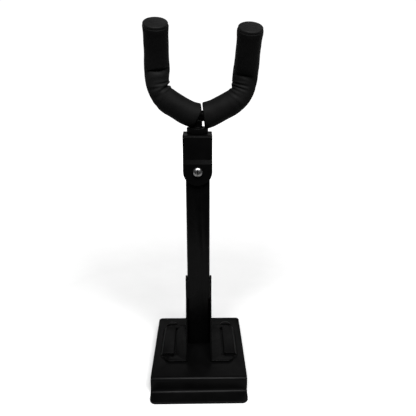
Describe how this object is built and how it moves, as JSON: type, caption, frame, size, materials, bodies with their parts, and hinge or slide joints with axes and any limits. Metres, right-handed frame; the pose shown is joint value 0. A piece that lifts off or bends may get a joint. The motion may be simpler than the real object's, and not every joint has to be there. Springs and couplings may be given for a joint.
{
  "type": "guitar hanger",
  "caption": "Hook-on guitar hanger arm: a hook plate with pressed tabs, a square arm on a slide-in foot, a tilting stirrup head and a swivelling foam-padded yoke.",
  "frame": {"origin": "centre of the hook plate's wall face", "axes": "+Z out of the wall along the arm, -Y up the wall towards the hook lip, +X to the right as seen in front of the raised tips"},
  "size_m": [0.0906, 0.1042, 0.3003],
  "materials": {
    "plate_coat": "satin black powder coat",
    "arm_coat": "satin black powder coat",
    "head_coat": "satin black powder coat",
    "bright_zinc": "bright zinc plate",
    "black_nylon": "moulded black nylon",
    "sleeve_foam": "soft black closed-cell foam with a fine skin",
    "cap_rubber": "moulded black rubber"
  },
  "bodies": {
    "plate": {"hook_plate": "plate_coat"},
    "arm": {"foot_bracket_left": "arm_coat", "foot_bracket_right": "arm_coat", "arm_tube": "arm_coat", "arm_end_insert": "black_nylon"},
    "head": {"head_bracket": "head_coat", "pivot_screw": "bright_zinc", "friction_washer_front": "black_nylon", "friction_washer_back": "black_nylon", "pivot_washer": "bright_zinc", "pivot_nut": "bright_zinc", "swivel_nylon_washer": "black_nylon", "swivel_steel_washer": "bright_zinc"},
    "yoke": {"swivel_collar": "head_coat", "swivel_lock_nut": "bright_zinc", "yoke_stem": "head_coat", "yoke_rod": "head_coat", "foam_sleeve_left": "sleeve_foam", "foam_sleeve_right": "sleeve_foam", "tip_cap_left": "cap_rubber", "tip_cap_right": "cap_rubber"}
  },
  "joints": [
    {"name": "foot_slide", "type": "slide", "parent": "plate", "child": "arm", "axis": [0, -1, 0], "range_m": [0, 0.045]},
    {"name": "head_tilt", "type": "hinge", "parent": "arm", "child": "head", "pos_m": [0, 0.0116, 0.1702], "axis": [0, 1, 0], "range_deg": [-90, 90]},
    {"name": "yoke_swivel", "type": "hinge", "parent": "head", "child": "yoke", "pos_m": [0, 0.0116, 0.1994], "axis": [0, 0, 1], "continuous": true}
  ]
}
